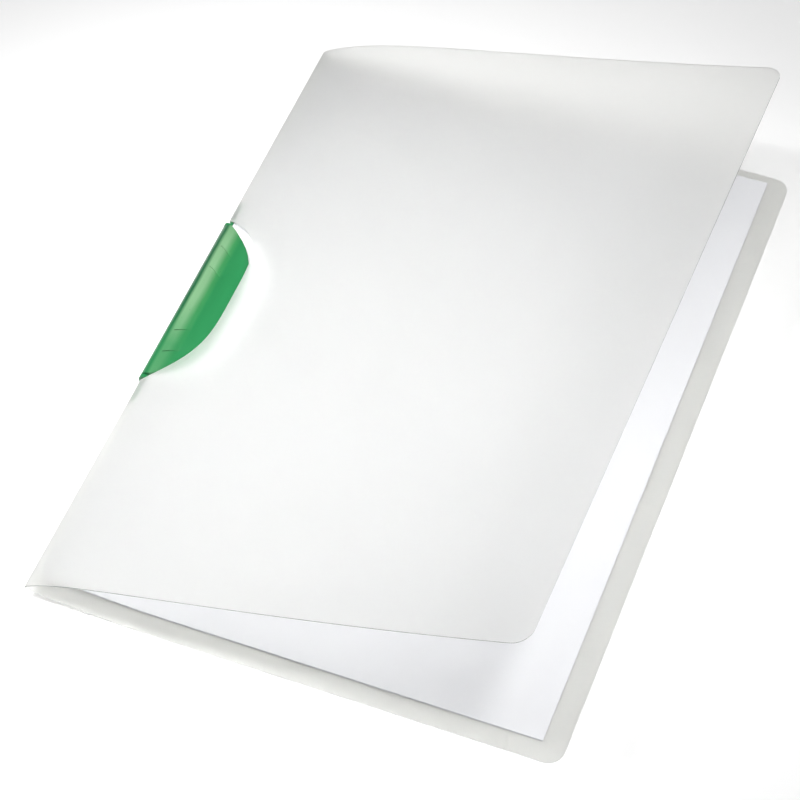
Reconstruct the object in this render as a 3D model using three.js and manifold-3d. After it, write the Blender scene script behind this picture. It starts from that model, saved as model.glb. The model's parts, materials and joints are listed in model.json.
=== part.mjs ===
// Clip folder: two clear film covers joined at a crease, a swinging plastic clip on the spine
// and the sheets of paper that it holds. The cover stands ajar and is bowed, as the photo shows it.
// Millimetres, +Z up. Pieces are drawn in the spine's frame: X from the spine to the fore edge,
// Y along the spine from its middle, Z up from the table. The group then moves them so that the
// origin is the middle of the back cover's underside.
import * as THREE from 'three';
import Module from 'manifold-3d';
import { mergeVertices } from 'three/addons/utils/BufferGeometryUtils.js';

// Covers
const coverWidth = 222;
const coverLength = 310;
const filmThickness = 0.4;
const cornerRadius = 7;
const clearance = 0.3;

// The back cover rises to the spine, because the clip's rear leg lies under it
const spineLift = 5.4;
const liftReach = 60;
const creaseX = 0.2;
const bendRadius = 0.9;

// The front cover's slope in degrees: steep at the crease, then flatter, then rising again
const nearEnd = { run: 16.2, start: 20, fade: 14, rise: 6 };
const farEnd = { run: 12.3, start: 24, fade: 24, rise: 4 };

// Window in the front cover and notch in the back cover, which the clip passes through
const windowReach = 22.8;
const windowHalf = 46.4;
const notchReach = 4;

// Paper
const paperWidth = 210;
const paperLength = 297;
const paperThickness = 0.8;
const paperFromSpine = 2.7;
const paperFromNearEnd = 8.4;

// Clip
const pivotX = 0.4;
const pivotZ = 5.2;
const barrelRadius = 1.9;
const barrelRoom = 0.6;
const clipReach = 20.2;
const clipHalf = 44.5;
const jawHalf = 42.9;
const legThickness = 1.4;
const humpWidth = 8.4;
const humpHeight = 3.5;
const humpCentre = 3;
const crownEase = 2.4;
const footEase = 1.5;
const footRise = 0.2;
const cradleBack = 4.2;
const cradleFloor = 1.4;
const cradleFront = 0.6;
const earRadius = 2;
const earWidth = 1.8;
const earGap = 0.2;
const pinRadius = 0.8;
const pinClearance = 0.1;
const tabLength = 11;
const tabWidth = 1.55;
const tabThickness = 0.5;
const tabFromCrease = 0.55;
const grooveWidth = 0.5;
const grooveDepth = 0.3;
const grooveLength = 7;
const grooveTurn = 0.5;
const groovePlaces = [17, 29];

const roundSteps = 32;
const cutMargin = 5;

const wasm = await Module();
wasm.setup();

// A closed three.js geometry as a solid to join and cut.
function solidOf(geometry) {
  const bare = geometry.clone();
  bare.deleteAttribute('normal');
  bare.deleteAttribute('uv');
  const merged = mergeVertices(bare, 1e-4);
  return new wasm.Manifold(new wasm.Mesh({
    numProp: 3,
    vertProperties: new Float32Array(merged.attributes.position.array),
    triVerts: new Uint32Array(merged.index.array),
  }));
}

// A solid back as a flat-shaded three.js geometry.
function geometryOf(solid) {
  const mesh = solid.getMesh();
  const indexed = new THREE.BufferGeometry();
  indexed.setAttribute('position', new THREE.BufferAttribute(mesh.vertProperties, 3));
  indexed.setIndex(new THREE.BufferAttribute(mesh.triVerts, 1));
  const geometry = indexed.toNonIndexed();
  geometry.computeVertexNormals();
  return geometry;
}

function boxBetween(x0, x1, y0, y1, z0, z1) {
  const box = new THREE.BoxGeometry(x1 - x0, y1 - y0, z1 - z0);
  box.translate((x0 + x1) / 2, (y0 + y1) / 2, (z0 + z1) / 2);
  return solidOf(box);
}

// A cylinder along Y on the clip's pivot line.
function onPivot(radius, y0, y1) {
  const cylinder = new THREE.CylinderGeometry(radius, radius, y1 - y0, roundSteps);
  cylinder.translate(pivotX, (y0 + y1) / 2, pivotZ);
  return solidOf(cylinder);
}

// An outline in X and Z, drawn out along Y to both sides of the middle.
function alongSpine(outline, half) {
  const bar = new THREE.ExtrudeGeometry(outline, { depth: 2 * half, bevelEnabled: false, curveSegments: 10 });
  bar.rotateX(Math.PI / 2);
  bar.translate(0, half, 0);
  return solidOf(bar);
}

// A D in plan, straight at the spine and flatly rounded towards the fore edge, as an upright block.
function uprightD(reach, half) {
  const outline = new THREE.Shape();
  const steps = 28;
  outline.moveTo(-cutMargin, -half);
  for (let i = 0; i <= steps; i++) {
    const along = Math.sin(Math.PI * (i / steps - 0.5));
    outline.lineTo(reach * (1 - along ** 4), half * along);
  }
  outline.lineTo(-cutMargin, half);
  const block = new THREE.ExtrudeGeometry(outline, { depth: coverWidth, bevelEnabled: false });
  block.translate(0, 0, -cutMargin);
  return solidOf(block);
}

// Height of the back cover's underside.
function lift(x) {
  return x < liftReach ? spineLift * (1 - x / liftReach) ** 2 : 0;
}

function liftSlope(x) {
  return x < liftReach ? Math.atan((-2 * spineLift * (1 - x / liftReach)) / liftReach) : 0;
}

// A sheet of even thickness. Each row has its two end points, its slope at each end (a turn from +X),
// and they are joined by straight lines along Y.
function sheet(rows, thickness, columns) {
  const positions = [];
  const index = [];
  const across = columns + 1;
  for (const side of [1, -1]) {
    for (const row of rows) {
      for (let j = 0; j < across; j++) {
        const t = j / columns;
        const slope = row.near.slope * (1 - t) + row.far.slope * t;
        const x = row.near.x * (1 - t) + row.far.x * t;
        const y = row.near.y * (1 - t) + row.far.y * t;
        const z = row.near.z * (1 - t) + row.far.z * t;
        const offset = (side * thickness) / 2;
        positions.push(x - Math.sin(slope) * offset, y, z + Math.cos(slope) * offset);
      }
    }
  }
  const under = rows.length * across;
  const quad = (a, b, c, d) => index.push(a, b, c, a, c, d);
  for (let i = 0; i < rows.length - 1; i++) {
    for (let j = 0; j < columns; j++) {
      const a = i * across + j;
      quad(a, a + across, a + across + 1, a + 1);
      quad(under + a, under + a + 1, under + a + across + 1, under + a + across);
    }
    const near = i * across;
    const far = near + columns;
    quad(near, under + near, under + near + across, near + across);
    quad(far, far + across, under + far + across, under + far);
  }
  const last = (rows.length - 1) * across;
  for (let j = 0; j < columns; j++) {
    quad(j, j + 1, under + j + 1, under + j);
    quad(last + j, under + last + j, under + last + j + 1, last + j + 1);
  }
  const geometry = new THREE.BufferGeometry();
  geometry.setAttribute('position', new THREE.Float32BufferAttribute(positions, 3));
  geometry.setIndex(index);
  return solidOf(geometry);
}

// Places across a cover, with the pull-in of its rounded corners at the fore edge.
function coverPlaces(from, steps, crowding) {
  const straight = coverWidth - cornerRadius;
  const places = [];
  for (let i = 0; i < steps; i++) {
    places.push({ s: from + (straight - from) * (i / steps) ** crowding, inset: 0 });
  }
  const cornerSteps = 6;
  for (let i = 0; i <= cornerSteps; i++) {
    const turn = ((Math.PI / 2) * i) / cornerSteps;
    places.push({ s: straight + cornerRadius * Math.sin(turn), inset: cornerRadius * (1 - Math.cos(turn)) });
  }
  return places;
}

// Where the back cover leaves its crease bend, and how high the crease then is.
const bendSlope = liftSlope(creaseX + bendRadius);
const bendStartX = creaseX + bendRadius * (1 + Math.sin(bendSlope));
const bendCentreZ = lift(bendStartX) + filmThickness / 2 + bendRadius * Math.cos(bendSlope);
const creaseZ = bendCentreZ + filmThickness / 2 + clearance;

function backCover() {
  const level = (x, z, slope, inset) => ({
    near: { x, z, slope, y: inset - coverLength / 2 },
    far: { x, z, slope, y: coverLength / 2 - inset },
  });
  const rows = [];
  const bendSteps = 6;
  for (let i = 0; i < bendSteps; i++) {
    const slope = -Math.PI / 2 + ((bendSlope + Math.PI / 2) * i) / bendSteps;
    const x = creaseX + bendRadius + bendRadius * Math.sin(slope);
    rows.push(level(x, bendCentreZ - bendRadius * Math.cos(slope), slope, 0));
  }
  for (const place of coverPlaces(bendStartX, 26, 1.5)) {
    rows.push(level(place.s, lift(place.s) + filmThickness / 2, liftSlope(place.s), place.inset));
  }
  const top = creaseZ + cutMargin;
  const notch = boxBetween(-cutMargin, notchReach, -windowHalf, windowHalf, -cutMargin, top);
  return sheet(rows, filmThickness, 4).subtract(notch);
}

// The front cover's middle line at one end, followed from the crease in small steps.
function bow(end, length) {
  const slopeAt = (s) => THREE.MathUtils.degToRad(
    end.run + end.start * Math.exp(-s / end.fade) + end.rise * (s / coverWidth) ** 2,
  );
  const steps = Math.max(1, Math.round(length / 0.5));
  let x = creaseX;
  let z = creaseZ;
  for (let i = 0; i < steps; i++) {
    const slope = slopeAt(((i + 0.5) * length) / steps);
    x += (Math.cos(slope) * length) / steps;
    z += (Math.sin(slope) * length) / steps;
  }
  return { x, z, slope: slopeAt(length) };
}

function frontCover() {
  const rows = coverPlaces(0, 26, 1.5).map((place) => ({
    near: { ...bow(nearEnd, place.s), y: place.inset - coverLength / 2 },
    far: { ...bow(farEnd, place.s), y: coverLength / 2 - place.inset },
  }));
  return sheet(rows, filmThickness, 6).subtract(uprightD(windowReach, windowHalf));
}

// The sheets lie on the back cover and follow its rise to the spine.
function paperSheets() {
  const near = paperFromNearEnd - coverLength / 2;
  const rows = [];
  const steps = 20;
  for (let i = 0; i <= steps; i++) {
    const x = paperFromSpine + paperWidth * (i / steps) ** 1.8;
    const z = lift(x) + filmThickness + clearance + paperThickness / 2;
    const slope = liftSlope(x);
    rows.push({ near: { x, z, slope, y: near }, far: { x, z, slope, y: near + paperLength } });
  }
  return sheet(rows, paperThickness, 2);
}

// Underside of the jaw's leg, just above the paper.
function jawUnder(x) {
  return lift(x) + filmThickness + clearance + paperThickness + clearance;
}

// The leg lies on the paper, and a rounded hump runs along its root.
function jawOutline() {
  const outline = new THREE.Shape();
  const legStart = pivotX + humpWidth;
  const legSteps = 4;
  const crownX = pivotX + humpCentre;
  const crownZ = pivotZ + humpHeight;
  const legTop = (x) => jawUnder(x) + legThickness;
  outline.moveTo(pivotX, jawUnder(pivotX + barrelRadius));
  for (let i = 0; i <= legSteps; i++) {
    const x = pivotX + barrelRadius + ((clipReach - pivotX - barrelRadius) * i) / legSteps;
    outline.lineTo(x, jawUnder(x));
  }
  for (let i = legSteps; i >= 0; i--) {
    const x = legStart + ((clipReach - legStart) * i) / legSteps;
    outline.lineTo(x, legTop(x));
  }
  outline.bezierCurveTo(
    legStart - footEase, legTop(legStart) + footRise,
    crownX + crownEase, crownZ,
    crownX, crownZ,
  );
  outline.bezierCurveTo(
    crownX - crownEase, crownZ,
    pivotX - barrelRadius, pivotZ + barrelRadius,
    pivotX - barrelRadius, pivotZ,
  );
  return outline;
}

// Four thin grooves run down the hump's back, two to each half, slanting towards the middle.
function groove(y) {
  const crownX = pivotX + humpCentre;
  const crownZ = pivotZ + humpHeight;
  const footX = pivotX + humpWidth;
  const footZ = jawUnder(footX) + legThickness;
  const cut = new THREE.BoxGeometry(grooveLength, grooveWidth, 2 * grooveDepth);
  cut.rotateZ(y > 0 ? -grooveTurn : grooveTurn);
  cut.rotateY(Math.atan2(crownZ - footZ, footX - crownX));
  cut.translate((crownX + footX) / 2, y, (crownZ + footZ) / 2 + grooveDepth / 2);
  return solidOf(cut);
}

function clipJaw() {
  let jaw = alongSpine(jawOutline(), jawHalf).intersect(uprightD(clipReach, clipHalf));
  jaw = jaw.add(onPivot(barrelRadius, -jawHalf, jawHalf));
  const pinEnd = jawHalf + earGap + earWidth;
  jaw = jaw.add(onPivot(pinRadius, -pinEnd, pinEnd));
  for (const place of groovePlaces) {
    jaw = jaw.subtract(groove(place)).subtract(groove(-place));
  }
  return jaw;
}

// The rear leg lies under the back cover. Its cradle runs under the jaw's barrel, two ears hold the
// jaw's pins, and a thin tab beyond each ear hooks over the back cover inside the crease.
function clipBase() {
  const outline = new THREE.Shape();
  const steps = 5;
  const topAt = (x) => lift(x) - clearance;
  outline.moveTo(cradleFront, cradleFloor);
  outline.lineTo(clipReach, topAt(clipReach) - legThickness);
  for (let i = steps; i >= 0; i--) {
    const x = cradleBack + ((clipReach - cradleBack) * i) / steps;
    outline.lineTo(x, topAt(x));
  }
  outline.lineTo(cradleFront, topAt(cradleBack));
  const inner = jawHalf + earGap;
  const outer = inner + earWidth;
  let base = alongSpine(outline, outer).intersect(uprightD(clipReach, clipHalf));
  base = base.add(boxBetween(cradleFront, cradleBack, -outer, outer, cradleFloor, topAt(cradleBack)));
  base = base.subtract(onPivot(barrelRadius + barrelRoom, -inner, inner));
  for (const side of [-1, 1]) {
    const y0 = Math.min(side * inner, side * outer);
    const y1 = Math.max(side * inner, side * outer);
    const tabEnd = side * (windowHalf + tabLength);
    const tabX = creaseX + tabFromCrease;
    const tabZ = lift(tabX) + filmThickness + 2 * clearance;
    base = base.add(boxBetween(pivotX - earRadius, pivotX + earRadius, y0, y1, cradleFloor, pivotZ));
    base = base.add(onPivot(earRadius, y0, y1));
    base = base.add(boxBetween(
      tabX, tabX + tabWidth,
      Math.min(side * inner, tabEnd), Math.max(side * inner, tabEnd),
      tabZ, tabZ + tabThickness,
    ));
    const holeStart = side < 0 ? y0 - cutMargin : y0;
    const holeEnd = side > 0 ? y1 + cutMargin : y1;
    base = base.subtract(onPivot(pinRadius + pinClearance, holeStart, holeEnd));
  }
  return base;
}

const film = { color: 0xdfe2df, roughness: 0.35, metalness: 0, transparent: true, opacity: 0.6 };
const green = { color: 0x3c9a5c, roughness: 0.4, metalness: 0 };
const white = { color: 0xeceef2, roughness: 0.85, metalness: 0 };

const folder = new THREE.Group();
const pieces = [
  ['back_cover', backCover(), film],
  ['front_cover', frontCover(), film],
  ['paper_sheets', paperSheets(), white],
  ['clip_base', clipBase(), green],
  ['clip_jaw', clipJaw(), green],
];
for (const [name, solid, finish] of pieces) {
  const mesh = new THREE.Mesh(geometryOf(solid), new THREE.MeshStandardMaterial(finish));
  mesh.name = name;
  folder.add(mesh);
}
folder.position.x = -coverWidth / 2;

export default folder;
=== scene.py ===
# %% [markdown]
# A clip folder: two frosted film covers, a few sheets of paper and a green clip on the spine. It
# lies on its back cover with the front cover ajar, and the clip swings out through a window.
#
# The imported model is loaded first. It holds every size that has to fit, so the visible pieces
# made here take their places from it and only add the finer form and the finish. Each piece is
# built, tied to the body that it moves with and counted before the next one starts.

# %% Load the model
import json
import math
import random
from contextlib import contextmanager

import bpy
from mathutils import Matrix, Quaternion, Vector


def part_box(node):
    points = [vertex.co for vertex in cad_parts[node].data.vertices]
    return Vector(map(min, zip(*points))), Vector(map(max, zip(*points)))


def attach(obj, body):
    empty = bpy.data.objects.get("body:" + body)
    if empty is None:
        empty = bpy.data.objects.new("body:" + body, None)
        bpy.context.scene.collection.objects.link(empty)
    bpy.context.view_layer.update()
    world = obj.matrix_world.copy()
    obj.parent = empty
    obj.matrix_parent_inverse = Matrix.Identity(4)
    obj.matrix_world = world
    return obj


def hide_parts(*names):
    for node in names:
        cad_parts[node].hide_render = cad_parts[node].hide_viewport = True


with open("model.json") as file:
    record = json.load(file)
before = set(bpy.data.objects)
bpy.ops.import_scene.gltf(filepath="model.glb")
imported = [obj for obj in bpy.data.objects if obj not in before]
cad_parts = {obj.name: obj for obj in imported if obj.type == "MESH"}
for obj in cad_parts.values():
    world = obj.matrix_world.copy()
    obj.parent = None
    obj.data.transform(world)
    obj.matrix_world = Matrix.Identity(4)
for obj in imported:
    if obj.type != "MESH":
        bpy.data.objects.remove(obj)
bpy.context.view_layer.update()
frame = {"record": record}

# %% [markdown]
# Blender counts in metres, and a folder is easier to think of in millimetres, so sizes are written
# as a number times MM. The covers' outer size and the crease line are read from the model. Sizes
# that can't be read back, such as a bow or a window's curve, repeat those that it was drawn with.

# %% Main sizes
MM = 0.001
back_low, back_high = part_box("back_cover")
SPINE_X = back_low.x
WIDTH = back_high.x - back_low.x
LENGTH = back_high.y - back_low.y
joints = {joint["name"]: joint for joint in frame["record"]["behaviour"]["joints"]}
CREASE = Vector(joints["cover_crease"]["pos_m"])
FILM = 0.4 * MM
print("cover", WIDTH, "by", LENGTH, "crease", CREASE)

# %% [markdown]
# Modelling by hand in Blender is a row of operators, each acting on what is selected. These small
# helpers keep that in order. One opens a mesh with all of it selected, one draws a line by
# extruding a single vertex from point to point, and one draws such a line out along the spine.
# A curve object could give the same lines, but its points would then have to be turned into a mesh.


# %% Drawing helpers
def only(piece):
    bpy.ops.object.select_all(action="DESELECT")
    piece.select_set(True)
    bpy.context.view_layer.objects.active = piece


@contextmanager
def editing(piece):
    """Edit mode with the whole mesh selected."""
    only(piece)
    bpy.ops.object.mode_set(mode="EDIT")
    bpy.ops.mesh.select_all(action="SELECT")
    yield
    bpy.ops.object.mode_set(mode="OBJECT")


def chain(name, points):
    """An object whose edges run through the points, made by extruding one vertex along them."""
    bpy.ops.object.select_all(action="DESELECT")
    bpy.ops.mesh.primitive_plane_add(size=MM, location=points[0])
    piece = bpy.context.object
    piece.name = name
    with editing(piece):
        bpy.ops.mesh.merge(type="CENTER")
        for start, stop in zip(points, points[1:]):
            step = Vector(stop) - Vector(start)
            bpy.ops.mesh.extrude_vertices_move(TRANSFORM_OT_translate={"value": step})
    bpy.ops.object.transform_apply(location=True, rotation=True, scale=True)
    return piece


def widen(piece, length):
    """Draws a line out along the spine into a bare sheet."""
    with editing(piece):
        bpy.ops.mesh.extrude_region_move(TRANSFORM_OT_translate={"value": (0, length, 0)})


def face_outward(piece):
    with editing(piece):
        bpy.ops.mesh.normals_make_consistent(inside=False)


# %% [markdown]
# Modifiers give thickness, cuts and bevels. Each is applied as soon as it is set, because the next
# step works on the mesh that it leaves. A cutting tool is used up by its cut.


# %% Modifier helpers
def apply(piece, kind, **settings):
    only(piece)
    modifier = piece.modifiers.new(kind.lower(), kind)
    for key, value in settings.items():
        setattr(modifier, key, value)
    bpy.ops.object.modifier_apply(modifier=modifier.name)


def cut(piece, tool, operation):
    """Cuts the piece with another object, which leaves its own finish on the cut faces."""
    settings = {"operation": operation, "solver": "EXACT", "material_mode": "TRANSFER"}
    apply(piece, "BOOLEAN", object=tool, **settings)
    bpy.data.objects.remove(tool)


def joined(pieces):
    bpy.ops.object.select_all(action="DESELECT")
    for piece in pieces:
        piece.select_set(True)
    bpy.context.view_layer.objects.active = pieces[0]
    bpy.ops.object.join()
    return pieces[0]


def smooth(piece, degrees):
    """Shades the piece round, but keeps edges that turn by more than the angle."""
    only(piece)
    bpy.ops.object.shade_smooth_by_angle(angle=math.radians(degrees))


# %% [markdown]
# A finish is a small network of nodes. Writing it as sums is shorter than drawing it: Signal wraps
# a socket, and a sum or product of signals adds the Math nodes. Everything else comes through
# node(). All patterns follow the piece's own coordinates, so they move with it.


# %% Material helpers
class Signal:
    def __init__(self, paint, socket):
        self.paint = paint
        self.socket = socket

    def _math(self, operation, first, second):
        return self.paint.node("ShaderNodeMath", {"operation": operation}, {0: first, 1: second})

    def __add__(self, other):
        return self._math("ADD", self, other)

    def __radd__(self, other):
        return self._math("ADD", other, self)

    def __sub__(self, other):
        return self._math("SUBTRACT", self, other)

    def __rsub__(self, other):
        return self._math("SUBTRACT", other, self)

    def __mul__(self, other):
        return self._math("MULTIPLY", self, other)

    def __rmul__(self, other):
        return self._math("MULTIPLY", other, self)


class Paint:
    """A material, its Principled shader and the nodes that feed it."""

    def __init__(self, name, **constants):
        self.material = bpy.data.materials.new(name)
        self.material.use_nodes = True
        self.tree = self.material.node_tree
        self.shader = self.tree.nodes["Principled BSDF"]
        self.feed(self.shader, constants)
        self.place = self.node("ShaderNodeTexCoord", {}, {}, "Object")

    def feed(self, target, values):
        """Links signals to a node's inputs and sets constants on them."""
        for key, value in values.items():
            key = key.replace("_", " ") if isinstance(key, str) else key
            if isinstance(value, Signal):
                self.tree.links.new(value.socket, target.inputs[key])
            else:
                target.inputs[key].default_value = value

    def node(self, kind, settings, values, output=0):
        """Adds a node. Its settings, such as a ramp's stops, come before its values and links."""
        made = self.tree.nodes.new(kind)
        for key, value in settings.items():
            if key == "stops":
                self.set_stops(made.color_ramp.elements, value)
            else:
                setattr(made, key, value)
        self.feed(made, values)
        return Signal(self, made.outputs[output])

    def set_stops(self, elements, stops):
        while len(elements) < len(stops):
            elements.new(1.0)
        for element, (position, colour) in zip(elements, stops):
            element.position = position
            element.color = (*colour, 1)

    def way(self, axis):
        """The place along one axis of the piece's own coordinates."""
        return self.node("ShaderNodeSeparateXYZ", {}, {"Vector": self.place}, axis)

    def noise(self, scale, detail, stretch=(1, 1, 1)):
        where = self.node("ShaderNodeMapping", {}, {"Vector": self.place, "Scale": stretch})
        return self.node("ShaderNodeTexNoise", {}, {"Vector": where, "Scale": scale, "Detail": detail})

    def ramp(self, factor, *stops):
        return self.node("ShaderNodeValToRGB", {"stops": stops}, {"Fac": factor})

    def blotches(self, noise, darkest, palest):
        """Two colours that follow a noise, whose values lie mostly between 0.3 and 0.7."""
        return self.ramp(noise, (0.3, darkest), (0.7, palest))

    def mix(self, factor, first, second):
        """A mix of two colours. The node's inputs 6 and 7 and its output 2 are its colour ones."""
        settings = {"data_type": "RGBA", "blend_type": "MIX"}
        return self.node("ShaderNodeMix", settings, {0: factor, 6: first, 7: second}, 2)

    def bump(self, height, distance, strength):
        values = {"Height": height, "Distance": distance, "Strength": strength}
        made = self.node("ShaderNodeBump", {}, values, "Normal")
        self.feed(self.shader, {"Normal": made})


# %% [markdown]
# The covers are polypropylene film with one matt side. It lets most light through but scatters it,
# so what lies close behind stays crisp and what lies deeper turns to a soft shade. A thin slab with
# rough transmission does just that by itself. Subsurface scattering adds a little plain white,
# because real film is slightly milky.
#
# Where film is cut, light leaves it sideways, so its edge looks other than its face, and that look
# is painted into the edge's colour. The front cover's edge is painted as a fine grey line over the
# white sheets, and the edges low on the table and round the window are painted pale, a painted glow.


# %% Film
def film_paint():
    paint = Paint(
        "frosted_film",
        Transmission_Weight=0.8,
        IOR=1.3,
        Specular_IOR_Level=0.4,
        Subsurface_Weight=1.0,
        Subsurface_Radius=(1.0, 1.0, 1.0),
        Subsurface_Scale=0.5 * MM,
    )
    cloud = paint.noise(9.0, 2.0)
    grain = paint.noise(1500.0, 2.0)
    paint.feed(paint.shader, {
        "Base Color": paint.blotches(cloud, (0.968, 0.97, 0.948), (0.978, 0.98, 0.962)),
        "Roughness": 0.40 + 0.08 * grain,
    })
    paint.bump(grain, distance=0.01 * MM, strength=0.5)
    return paint.material


def film_edge_paint(name, darkest, palest):
    paint = Paint(name, Transmission_Weight=0.3, IOR=1.35)
    streak = paint.noise(700.0, 2.0)
    paint.feed(paint.shader, {
        "Base Color": paint.blotches(streak, darkest, palest),
        "Roughness": 0.35 + 0.15 * streak,
    })
    return paint.material


film_finish = film_paint()
front_edge = film_edge_paint("front_cut_edge", (0.30, 0.31, 0.30), (0.40, 0.41, 0.40))
# A painted glow: the pale colour of the cut edges low on the table and round the window.
painted_glow_edge = film_edge_paint("painted_glow_cut_edge", (0.80, 0.81, 0.78), (0.88, 0.89, 0.87))
print("film finishes", film_finish.name, front_edge.name, painted_glow_edge.name)

# %% [markdown]
# Both covers are one bent film on the real folder, so both follow curves drawn from the side. The
# front cover was bent by hand once and kept its bow. The back cover lies flat and rises in a
# parabola to the spine, where the clip's rear leg is under it. Formulas are used rather than drawn
# curves, because the paper has to follow the same rise.
#
# Each end of the front cover has its slope in degrees: a steady run, a steeper start that fades
# away from the crease, and a rise towards the fore edge. The near end stands more open.


# %% Curves of the film
NEAR_END = {"run": 16.2, "start": 20, "fade": 14 * MM, "rise": 6}
FAR_END = {"run": 12.3, "start": 24, "fade": 24 * MM, "rise": 4}
BOW_STEP = 0.5 * MM
LIFT = 5.4 * MM
LIFT_REACH = 60 * MM


def bow(end, length):
    """The film's middle line at one end, a given way from the crease: X, Z."""
    steps = max(1, round(length / BOW_STEP))
    x, z = CREASE.x, CREASE.z
    for i in range(steps):
        s = (i + 0.5) * length / steps
        start = end["start"] * math.exp(-s / end["fade"])
        rise = end["rise"] * (s / WIDTH) ** 2
        slope = math.radians(end["run"] + start + rise)
        x += math.cos(slope) * length / steps
        z += math.sin(slope) * length / steps
    return x, z


def lift(x):
    """Height of the back cover's underside, a given way from the spine."""
    return LIFT * max(0, 1 - x / LIFT_REACH) ** 2


print("fore edge at the near end", bow(NEAR_END, WIDTH), "at the far end", bow(FAR_END, WIDTH))

# %% [markdown]
# A maker die-cuts the film flat and creases it afterwards. Here the film is drawn in its bent form,
# so it is cut by upright blocks with the die's outline: the cover with its two rounded corners, the
# D-shaped window and the straight notch. Cutting a flat sheet and bending it would not keep the
# crease in place. The blocks leave their own finish on the cut, which becomes the visible edge.


# %% Cutting blocks
CORNER = 7 * MM
WINDOW_REACH = 22.8 * MM
WINDOW_HALF = 46.4 * MM
NOTCH = 4 * MM
PAST = 5 * MM
TALL = 120 * MM


def give_finishes(piece, edge_finish):
    piece.data.materials.append(film_finish)
    piece.data.materials.append(edge_finish)


def upright(name, outline, edge_finish):
    """A block on a closed outline, from below the folder to above the open cover."""
    block = chain(name, [(x, y, -PAST) for x, y in outline])
    with editing(block):
        bpy.ops.mesh.edge_face_add()
        bpy.ops.mesh.extrude_region_move(TRANSFORM_OT_translate={"value": (0, 0, TALL)})
    face_outward(block)
    give_finishes(block, edge_finish)
    for face in block.data.polygons:
        face.material_index = 1
    return block


def cover_outline(near_x, far_x):
    """The cover from above. Its fore edge runs between two places, and its corners are round."""
    half = LENGTH / 2
    corner_steps = 12
    points = [(SPINE_X - PAST, -half)]
    for x, y, turn in ((near_x - CORNER, CORNER - half, -90), (far_x - CORNER, half - CORNER, 0)):
        for i in range(corner_steps + 1):
            angle = math.radians(turn + 90 * i / corner_steps)
            points.append((x + CORNER * math.cos(angle), y + CORNER * math.sin(angle)))
    points.append((SPINE_X - PAST, half))
    return points


def window_outline():
    """A D from above: straight along the spine and flatly rounded towards the fore edge."""
    steps = 56
    flatness = 4
    points = [(SPINE_X - PAST, -WINDOW_HALF)]
    for i in range(steps + 1):
        along = math.sin(math.pi * (i / steps - 0.5))
        points.append((SPINE_X + WINDOW_REACH * (1 - along ** flatness), WINDOW_HALF * along))
    points.append((SPINE_X - PAST, WINDOW_HALF))
    return points


def notch_outline():
    """The notch in the back cover's spine, as long as the window."""
    left = SPINE_X - PAST
    right = SPINE_X + NOTCH
    return [(left, -WINDOW_HALF), (right, -WINDOW_HALF), (right, WINDOW_HALF), (left, WINDOW_HALF)]


print("window outline", len(window_outline()), "points")

# %% [markdown]
# The front cover is steep at the crease, flatter in the middle and rises again to the fore edge.
# Its two ends are drawn as curves, and a bridge between them gives the straight lines that a bent
# film has, with the slight twist of a cover that stands more open at one end. The bare sheet
# reaches past both ends, so that the outline trims it cleanly, and then it gets its thickness.


# %% Front cover
OVERHANG = 3 * MM
FILM_ANGLE = 35


def thick(sheet, edge_finish):
    """Gives a bare sheet the film's thickness, half to each side."""
    give_finishes(sheet, edge_finish)
    apply(sheet, "SOLIDIFY", thickness=FILM, offset=0, use_even_offset=True, material_offset_rim=1)
    face_outward(sheet)


def front_film():
    steps = 60
    crowding = 1.4
    ends = []
    for end, y in ((NEAR_END, -LENGTH / 2 - OVERHANG), (FAR_END, LENGTH / 2 + OVERHANG)):
        points = []
        for i in range(steps + 1):
            x, z = bow(end, WIDTH * (i / steps) ** crowding)
            points.append((x, y, z))
        ends.append(chain("front_film", points))
    piece = joined(ends)
    with editing(piece):
        bpy.ops.mesh.bridge_edge_loops(number_cuts=30, interpolation="LINEAR")
    thick(piece, front_edge)
    outline = cover_outline(bow(NEAR_END, WIDTH)[0], bow(FAR_END, WIDTH)[0])
    cut(piece, upright("outline", outline, front_edge), "INTERSECT")
    cut(piece, upright("window", window_outline(), painted_glow_edge), "DIFFERENCE")
    smooth(piece, FILM_ANGLE)
    return piece


front = front_film()
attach(front, "front")
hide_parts("front_cover")
print("front film", len(front.data.polygons), "faces")

# %% [markdown]
# The back cover is the same film. It lies flat, rises towards the spine and turns up into the
# narrow spine in a tight bend. The spine ends on the crease line itself, where the front film
# begins, so the two meet at every opening of the cover. One line seen from the side, drawn out
# along the spine, makes all of it.


# %% Back cover
BEND = 0.9 * MM


def back_film():
    slope = math.atan(2 * LIFT * (1 - (CREASE.x - SPINE_X + BEND) / LIFT_REACH) / LIFT_REACH)
    bend_x = CREASE.x + BEND
    bend_end = CREASE.x + BEND * (1 - math.sin(slope)) - SPINE_X
    bend_z = lift(bend_end) + FILM / 2 + BEND * math.cos(slope)
    points = [(CREASE.x, CREASE.z)]
    bend_steps = 10
    for i in range(bend_steps + 1):
        turn = math.pi / 2 - (math.pi / 2 - slope) * i / bend_steps
        points.append((bend_x - BEND * math.sin(turn), bend_z - BEND * math.cos(turn)))
    start = points[-1][0] - SPINE_X
    steps = 50
    crowding = 1.5
    for i in range(1, steps + 1):
        x = start + (WIDTH - start) * (i / steps) ** crowding
        points.append((SPINE_X + x, lift(x) + FILM / 2))
    piece = chain("back_film", [(x, -LENGTH / 2 - OVERHANG, z) for x, z in points])
    widen(piece, LENGTH + 2 * OVERHANG)
    thick(piece, painted_glow_edge)
    fore_edge = SPINE_X + WIDTH
    cut(piece, upright("outline", cover_outline(fore_edge, fore_edge), painted_glow_edge), "INTERSECT")
    cut(piece, upright("notch", notch_outline(), painted_glow_edge), "DIFFERENCE")
    smooth(piece, FILM_ANGLE)
    return piece


back = back_film()
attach(back, "folder_back")
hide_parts("back_cover")
print("back film", len(back.data.polygons), "faces")

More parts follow.
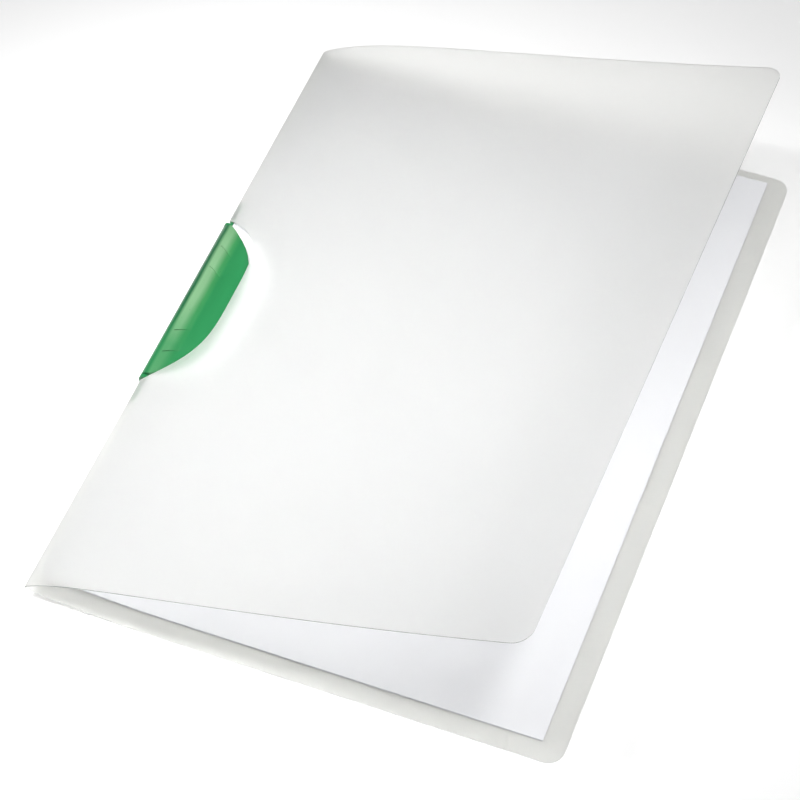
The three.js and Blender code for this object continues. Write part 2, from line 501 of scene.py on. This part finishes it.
# %% [markdown]
# The paper is a thin stack, and its edge shows that it is made of sheets that were never knocked
# quite true. One solid block would look like card, so each sheet is its own thin bent strip,
# shifted by a fraction of a millimetre. Office paper is matt and faintly bluish, with a fine fibre
# that only shows as a soft unevenness.


# %% Paper
PAPER = 0.8 * MM
GAP = 0.3 * MM
SHEETS = 8
SHEET_FILL = 0.9
UNEVEN_ACROSS = (-0.25, 0.0)
UNEVEN_ALONG = (-0.35, 0.35)
PAPER_ANGLE = 30


def paper_paint():
    paint = Paint("copier_paper", Roughness=0.85, Specular_IOR_Level=0.25)
    fibre = paint.noise(900.0, 6.0)
    cloud = paint.noise(30.0, 4.0)
    paint.feed(paint.shader, {
        "Base Color": paint.blotches(cloud, (0.87, 0.875, 0.905), (0.885, 0.89, 0.92)),
    })
    paint.bump(fibre, distance=0.02 * MM, strength=0.6)
    return paint.material


def one_sheet(index, share, shift, low, high):
    """A sheet with a share of the stack's thickness. A little of it is air between the sheets."""
    steps = 30
    crowding = 1.6
    points = []
    for i in range(steps + 1):
        x = low.x + shift.x + (high.x - low.x) * (i / steps) ** crowding
        z = lift(x - SPINE_X) + FILM + GAP + (index + 0.5) * share
        points.append((x, low.y + shift.y, z))
    piece = chain("sheet", points)
    widen(piece, high.y - low.y)
    apply(piece, "SOLIDIFY", thickness=share * SHEET_FILL, offset=0)
    return piece


def paper_stack():
    low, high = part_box("paper_sheets")
    draw = random.Random(7)
    sheets = []
    for index in range(SHEETS):
        shift = Vector((draw.uniform(*UNEVEN_ACROSS), draw.uniform(*UNEVEN_ALONG), 0)) * MM
        sheets.append(one_sheet(index, PAPER / SHEETS, shift, low, high))
    piece = joined(sheets)
    piece.data.materials.append(paper_paint())
    piece.name = "paper_stack"
    face_outward(piece)
    smooth(piece, PAPER_ANGLE)
    return piece


paper = paper_stack()
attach(paper, "folder_back")
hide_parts("paper_sheets")
print("paper", len(paper.data.polygons), "faces")

# %% [markdown]
# The clip is moulded in green plastic that lets a little light through. Its colour follows the way
# across the clip, from the barrel's back to the leg's rim, and light and shade are painted into it:
# the deep green along the barrel at the spine is painted shade on the clip's flank, the pale green
# over the hump is a painted highlight, and a darker green between hump and leg is painted shade in
# the valley. The painted highlight is brightest a little past the clip's middle and gives way to
# the leg's green towards its ends. A soft noise bends both, as plastic that flowed into its mould
# shows. Paint by place does this in one finish, while separate materials would need the hump cut
# into patches with hard borders.


# %% Green plastic
# Painted shade: the deep green on the barrel's flank at the spine.
PAINTED_BARREL_SHADE = (0.008, 0.12, 0.04)
# The pale green over the hump is a painted highlight, and the middle green is its fade.
PAINTED_HUMP_HIGHLIGHT = (0.20, 0.405, 0.21)
MIDDLE = (0.045, 0.27, 0.085)
# The valley green is painted shade between hump and leg.
PAINTED_VALLEY_SHADE = (0.020, 0.22, 0.070)
LEG = (0.0215, 0.233, 0.075)
# The rim green is a painted glow on the leg's upright rim.
PAINTED_RIM_GLOW = (0.20, 0.62, 0.28)
BARREL_BACK = 1.5 * MM
CLIP_REACH = 20.2 * MM
CLIP_HALF = 44.5 * MM
# The place along the clip where the painted highlight is brightest.
HIGHLIGHT_PLACE = 16 * MM
BENT_ACROSS = 0.05
BENT_ALONG = 0.3


def green_paint(name, end_strength, *stops):
    """Colours with painted light and shade, from the barrel (0) to the leg's rim (1), giving way to the
    leg's green at the ends.
    """
    paint = Paint(name, Transmission_Weight=0.2, IOR=1.45, Specular_IOR_Level=0.35)
    flow = paint.noise(60.0, 3.0, stretch=(3.0, 1.0, 1.0))
    speck = paint.noise(1200.0, 2.0)
    across = paint.way("X") - (SPINE_X - BARREL_BACK)
    across_share = across * (1 / (BARREL_BACK + CLIP_REACH))
    colour = paint.ramp(across_share + BENT_ACROSS * flow - BENT_ACROSS / 2, *stops)
    # The painted highlight and shade fade to the leg's green away from this place.
    from_highlight_place = paint.way("Y") - HIGHLIGHT_PLACE
    end_share = from_highlight_place * from_highlight_place * (1 / CLIP_HALF ** 2)
    end_fade = paint.ramp(
        end_share + BENT_ALONG * flow - BENT_ALONG / 2,
        (0.1, (0, 0, 0)), (0.9, (1, 1, 1)),
    )
    paint.feed(paint.shader, {
        "Base Color": paint.mix(end_fade * end_strength, colour, (*LEG, 1)),
        "Roughness": 0.24 + 0.14 * speck,
    })
    paint.bump(speck, distance=0.01 * MM, strength=0.4)
    return paint.material


jaw_finish = green_paint(
    "green_jaw", 0.75,
    (0.04, PAINTED_BARREL_SHADE), (0.12, PAINTED_BARREL_SHADE), (0.19, PAINTED_HUMP_HIGHLIGHT), (0.30, PAINTED_HUMP_HIGHLIGHT), (0.42, MIDDLE), (0.52, PAINTED_VALLEY_SHADE), (0.64, LEG),
)
rim_glow_finish = green_paint("green_rim_glow", 0, (0.0, LEG), (0.5, PAINTED_RIM_GLOW))
# The base uses the same darker green at the barrel, turning to the leg's green.
base_finish = green_paint("green_base", 0, (0.0, PAINTED_VALLEY_SHADE), (0.5, LEG))
print("green finishes", jaw_finish.name, rim_glow_finish.name, base_finish.name)

# %% [markdown]
# The model's own solids have the clip's true form but knife edges. A moulding leaves its mould with
# small radii, so a copy of each solid is cleaned of its loose triangles, its edges are bevelled and
# it is shaded smooth. Starting from the solid keeps the pins and ears exactly where they turn. The
# leg's upright rim gets a paler green than its top, a painted glow of the light that leaves the
# plastic there.


# %% Clip
HUMP_END = 9 * MM
CLEAN_DISTANCE = 0.01 * MM
FLAT_ANGLE = 1
BEVEL_ANGLE = 50
MOULDING_ANGLE = 40
STEEP = 0.5


def softened(node, name, radius):
    only(bpy.data.objects[node])
    bpy.ops.object.duplicate()
    piece = bpy.context.object
    piece.name = name
    with editing(piece):
        bpy.ops.mesh.remove_doubles(threshold=CLEAN_DISTANCE)
        bpy.ops.mesh.dissolve_limited(angle_limit=math.radians(FLAT_ANGLE))
    apply(
        piece, "BEVEL", width=radius, segments=3, limit_method="ANGLE",
        angle_limit=math.radians(BEVEL_ANGLE), use_clamp_overlap=True, harden_normals=False,
    )
    smooth(piece, MOULDING_ANGLE)
    return piece


for node, name, body, finish, rim, radius in (
    ("clip_jaw", "jaw_moulding", "jaw", jaw_finish, rim_glow_finish, 0.3 * MM),
    ("clip_base", "base_moulding", "folder_back", base_finish, None, 0.2 * MM),
):
    moulding = softened(node, name, radius)
    moulding.data.materials.clear()
    moulding.data.materials.append(finish)
    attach(moulding, body)
    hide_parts(node)
    if rim:
        moulding.data.materials.append(rim)
        # The upright rim faces get the painted rim glow.
        for face in moulding.data.polygons:
            on_rim = abs(face.normal.z) < STEEP and face.center.x > SPINE_X + HUMP_END
            face.material_index = 1 if on_rim else 0
    print(name, len(moulding.data.polygons), "faces")

# %% [markdown]
# The stage is a plain pale floor under a white sky. The floor glows faintly, so that it stays as
# white as a studio's paper sweep. It lies just under the film, because two faces at one height
# would flicker.


# %% Floor and sky
FLOOR_SIZE = 12
FLOOR_DROP = 0.05 * MM
SKY_STRENGTH = 0.25


def lay_floor():
    bpy.ops.object.select_all(action="DESELECT")
    bpy.ops.mesh.primitive_plane_add(size=FLOOR_SIZE, location=(0, 0, -FLOOR_DROP))
    piece = bpy.context.object
    piece.name = "floor"
    paint = Paint(
        "floor",
        Base_Color=(0.93, 0.93, 0.93, 1),
        Roughness=0.9,
        Specular_IOR_Level=0.0,
        Emission_Color=(1, 1, 1, 1),
        Emission_Strength=0.11,
    )
    piece.data.materials.append(paint.material)


lay_floor()
world = bpy.data.worlds.new("studio")
bpy.context.scene.world = world
world.use_nodes = True
sky = world.node_tree.nodes["Background"]
sky.inputs["Color"].default_value = (1, 1, 1, 1)
sky.inputs["Strength"].default_value = SKY_STRENGTH
bpy.context.scene.view_settings.view_transform = "Standard"
print("floor laid, sky at strength", SKY_STRENGTH)

# %% [markdown]
# A studio lights such a folder from softboxes all round, and brighter over the spine, so that the
# film is nearly white there and turns grey towards its fore edge. Two wide discs give the even
# light. Two spots aimed at the clip's side give the bright part. Their cones fade from the middle
# outwards, so the brightness changes slowly over the cover.


# %% Lights
FOLDER_MIDDLE = (0, 0, 0)
CLIP_SIDE = (-0.07, -0.03, 0)
SPOT_CONE = 28
SPOT_SIZE = 0.12


def lamp(kind, name, place, target, power):
    """A light that looks from its place at a target. Its data is given back to be set further."""
    bpy.ops.object.light_add(type=kind, location=place)
    light = bpy.context.object
    light.name = name
    light.data.energy = power
    aim = Vector(target) - Vector(place)
    light.rotation_euler = aim.to_track_quat("-Z", "Y").to_euler()
    return light.data


for name, place, size, power in (
    ("over_light", (0.1, -0.1, 1.5), 1.0, 8),
    ("fill_light", (1.0, -0.5, 0.6), 0.8, 5),
):
    disc = lamp("AREA", name, place, FOLDER_MIDDLE, power)
    disc.shape = "DISK"
    disc.size = size

for name, place, power in (
    ("key_light", (-0.45, -0.2, 1.0), 44),
    ("second_light", (0.3, -0.15, 1.0), 20),
):
    spot = lamp("SPOT", name, place, CLIP_SIDE, power)
    spot.spot_size = math.radians(SPOT_CONE)
    spot.spot_blend = 1.0
    spot.shadow_soft_size = SPOT_SIZE
print("lights", len(bpy.data.lights))

# %% [markdown]
# The camera stands where the photographer's stood. Its place was worked out from the straight edges
# of the back cover and the paper. The focal length was found in pixels of the photograph's frame,
# and a full-frame sensor turns it into a lens in millimetres.

# %% Camera
ELEVATION = math.radians(52.95)
AZIMUTH = math.radians(23.77)
ROLL = math.radians(3.11)
DISTANCE = 1.072
TARGET = Vector((-0.0076, -0.0147, 0))
FOCAL_PIXELS = 2582.7
FRAME_PIXELS = 800
SENSOR = 36.0
NEAR_LIMIT = 0.01


def set_camera():
    back_way = Vector((
        math.sin(AZIMUTH) * math.cos(ELEVATION),
        -math.cos(AZIMUTH) * math.cos(ELEVATION),
        math.sin(ELEVATION),
    ))
    bpy.ops.object.camera_add(location=TARGET + back_way * DISTANCE)
    piece = bpy.context.object
    piece.name = "photo_camera"
    piece.rotation_mode = "QUATERNION"
    piece.rotation_quaternion = (-back_way).to_track_quat("-Z", "Y") @ Quaternion((0, 0, 1), -ROLL)
    piece.data.sensor_width = SENSOR
    piece.data.lens = FOCAL_PIXELS / FRAME_PIXELS * SENSOR
    piece.data.clip_start = NEAR_LIMIT
    bpy.context.scene.camera = piece
    print("camera at", piece.location, "with a lens of", round(piece.data.lens), "mm")


set_camera()
